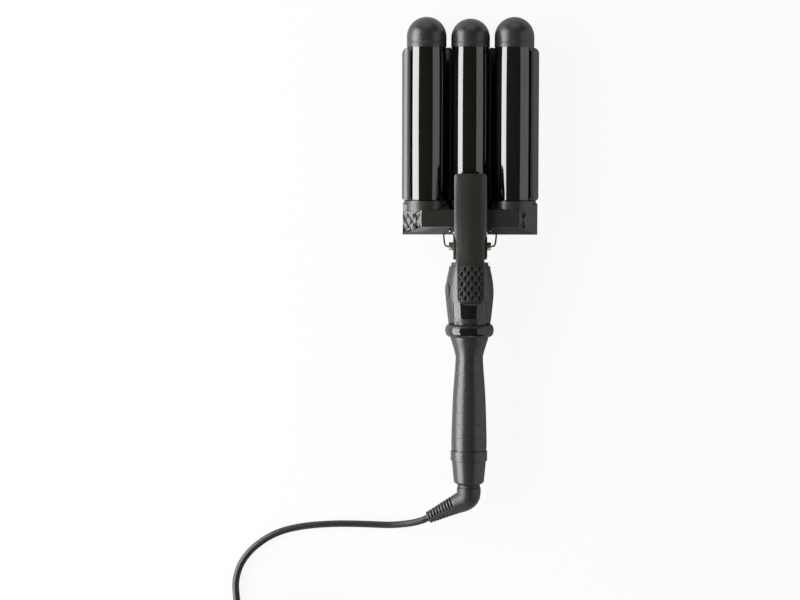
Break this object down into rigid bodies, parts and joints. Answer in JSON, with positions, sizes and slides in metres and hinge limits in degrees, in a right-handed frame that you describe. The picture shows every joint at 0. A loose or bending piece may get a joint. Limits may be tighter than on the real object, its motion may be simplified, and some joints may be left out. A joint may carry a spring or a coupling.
{
  "type": "hair waver",
  "caption": "Clamp hair waver with parallel heated barrels inside curved side wings, a thumb lever, a round grip, a side control and a swivelling mains cord with its plug.",
  "frame": {"origin": "centre of the flat back face of the rear jaw's base, on which the tool lies", "axes": "+X across the barrels, to the right seen from the lever's side with the tips up; +Y along the tool towards the barrels' tips; +Z out of the back towards the lever"},
  "size_m": [0.2546, 0.573, 0.0598],
  "materials": {
    "barrel_coating": "glossy black ceramic coating on an aluminium tube",
    "wing_coating": "semi-gloss black coating on sheet aluminium",
    "barrel_plastic": "fine matte charcoal plastic",
    "body_plastic": "soft-touch matte charcoal plastic",
    "rear_plastic": "matte dark plastic",
    "trim_plastic": "satin charcoal plastic",
    "pad_rubber": "rubber with a raised lattice",
    "pin_brass": "turned brass",
    "gloss_black": "gloss black",
    "display_grey": "display glass and frame",
    "board_green": "circuit board",
    "switch_grey": "switch housing",
    "wire_red": "insulated wire",
    "lead_rubber": "black insulated wire",
    "heater_metal": "heater core",
    "screw_steel": "zinc-plated screws",
    "spring_steel": "spring steel wire",
    "swivel_plastic": "smooth dark plastic",
    "cord_rubber": "flexible cord sheath",
    "tie_plastic": "soft plastic strap",
    "plug_plastic": "moulded plug",
    "plug_metal": "nickel-plated pins"
  },
  "bodies": {
    "handle": {"centre_barrel": "barrel_coating", "centre_tip": "barrel_plastic", "centre_collar": "barrel_plastic", "centre_heater": "heater_metal", "rear_spine": "rear_plastic", "rear_jaw_base": "rear_plastic", "closing_spring": "spring_steel", "neck_frame": "rear_plastic", "neck_ring": "trim_plastic", "front_shell": "body_plastic", "rear_shell": "body_plastic", "casing_screws": "screw_steel", "display_window": "gloss_black", "display_module": "display_grey", "control_board": "board_green", "switch_block": "switch_grey", "inner_wires": "wire_red", "trim_ring": "trim_plastic", "ring_inlay": "gloss_black", "end_band": "trim_plastic", "end_cap": "body_plastic"},
    "front_jaw": {"lever": "body_plastic", "thumb_pad": "pad_rubber", "crossbar_housing": "body_plastic", "crossbar_back_covers": "rear_plastic", "crossbar_screws": "screw_steel", "left_barrel": "barrel_coating", "right_barrel": "barrel_coating", "left_tip": "barrel_plastic", "right_tip": "barrel_plastic", "left_collar": "barrel_plastic", "right_collar": "barrel_plastic", "left_wing": "wing_coating", "right_wing": "wing_coating", "wing_screws": "screw_steel", "left_heater": "heater_metal", "right_heater": "heater_metal", "hinge_pin": "pin_brass", "left_heater_lead": "lead_rubber", "right_heater_lead": "lead_rubber"},
    "temperature_rocker": {"side_control": "trim_plastic"},
    "cord_swivel": {"swivel_spigot": "swivel_plastic", "strain_relief_elbow": "cord_rubber", "cord_lead": "cord_rubber", "cord_coil": "cord_rubber", "cord_tail": "cord_rubber", "coil_tie": "tie_plastic", "plug_body": "plug_plastic", "plug_pins": "plug_metal"}
  },
  "joints": [
    {"name": "jaw_hinge", "type": "hinge", "parent": "handle", "child": "front_jaw", "pos_m": [0, -0.0202, 0.026], "axis": [1, 0, 0], "range_deg": [0, 12], "stiffness_Nm_per_rad": 0.8, "springref_deg": -34.38, "deforming": ["closing_spring"]},
    {"name": "control_rock", "type": "hinge", "parent": "handle", "child": "temperature_rocker", "pos_m": [-0.01354, -0.0569, 0.02333], "axis": [0.225, 0, 0.9744], "range_deg": [-2.5, 2.5], "stiffness_Nm_per_rad": 0.05},
    {"name": "cord_turn", "type": "hinge", "parent": "handle", "child": "cord_swivel", "pos_m": [0, -0.215, 0.0202], "axis": [0, 1, 0], "continuous": true}
  ]
}
